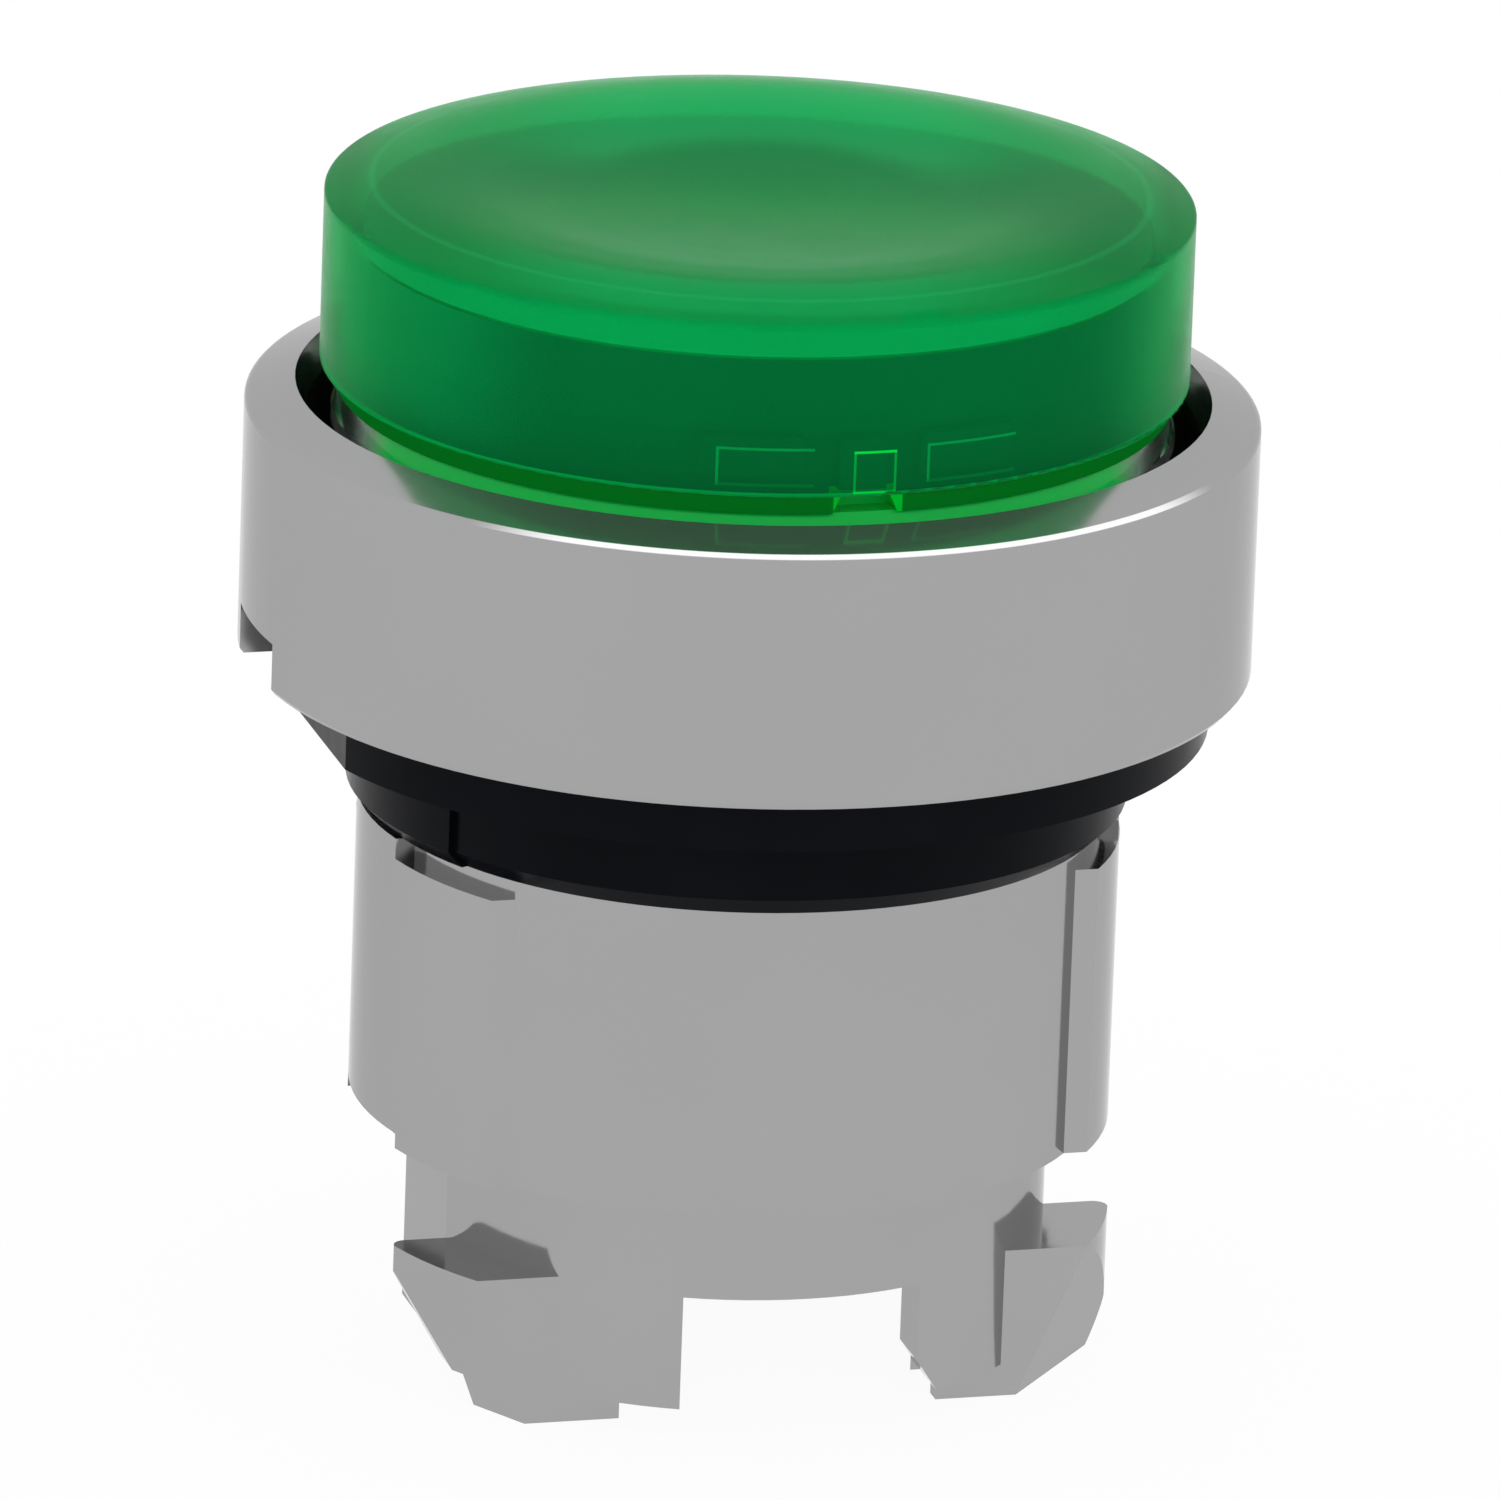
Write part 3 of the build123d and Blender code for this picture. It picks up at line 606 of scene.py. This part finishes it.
def floor_piece(z):
    """A white disc under the part, nearly as bright as the world."""
    bm = bmesh.new()
    angles = [i * math.tau / FLOOR_SIDES for i in range(FLOOR_SIDES)]
    bm.faces.new([bm.verts.new((FLOOR_R * math.cos(a), FLOOR_R * math.sin(a), z)) for a in angles])
    obj = linked("floor", bm)
    mat, tree, out = material("floor")
    own = add(tree, "ShaderNodeBsdfDiffuse", Color=(1, 1, 1, 1))
    glow = add(tree, "ShaderNodeEmission", Color=(1, 1, 1, 1), Strength=1.0)
    both = add(tree, "ShaderNodeMixShader", Fac=FLOOR_GLOW)
    tree.links.new(own.outputs["BSDF"], both.inputs[1])
    tree.links.new(glow.outputs["Emission"], both.inputs[2])
    tree.links.new(both.outputs["Shader"], out.inputs["Surface"])
    obj.data.materials.append(mat)


def white_world():
    world = bpy.data.worlds.new("studio")
    bpy.context.scene.world = world
    world.use_nodes = True
    background = world.node_tree.nodes["Background"]
    background.inputs["Color"].default_value = (1, 1, 1, 1)
    background.inputs["Strength"].default_value = 1.0


def photo_camera():
    """The camera that the photograph was solved for, looking at the part's origin."""
    a = math.radians(CAM_AZIMUTH)
    e = math.radians(CAM_ELEVATION)
    r = math.radians(CAM_ROLL)
    right = Vector((math.cos(a), math.sin(a), 0))
    back = Vector((math.sin(a) * math.cos(e), -math.cos(a) * math.cos(e), math.sin(e)))
    up = back.cross(right)
    cam_right = right * math.cos(r) + up * math.sin(r)
    cam_up = up * math.cos(r) - right * math.sin(r)
    data = bpy.data.cameras.new("camera")
    data.sensor_fit = "HORIZONTAL"
    data.sensor_width = SENSOR_WIDTH
    data.lens = PIXELS_PER_MM * CAM_DISTANCE * 1000 / PHOTO_WIDTH * SENSOR_WIDTH
    data.clip_start = 0.05
    data.clip_end = 20.0
    cam = bpy.data.objects.new("camera", data)
    cam.matrix_world = Matrix((
        (cam_right.x, cam_up.x, back.x, 0),
        (cam_right.y, cam_up.y, back.y, 0),
        (cam_right.z, cam_up.z, back.z, 0),
        (0, 0, 0, 1),
    ))
    cam.location = back * CAM_DISTANCE - right * CAM_SHIFT_X - up * CAM_SHIFT_Y
    bpy.context.scene.collection.objects.link(cam)
    bpy.context.scene.camera = cam


coil_spring(SPRING_WIRE_R, SPRING_TURNS)
floor_piece(cad_low.z - FLOOR_GAP)
white_world()
photo_camera()
bpy.context.scene.view_settings.view_transform = "Standard"
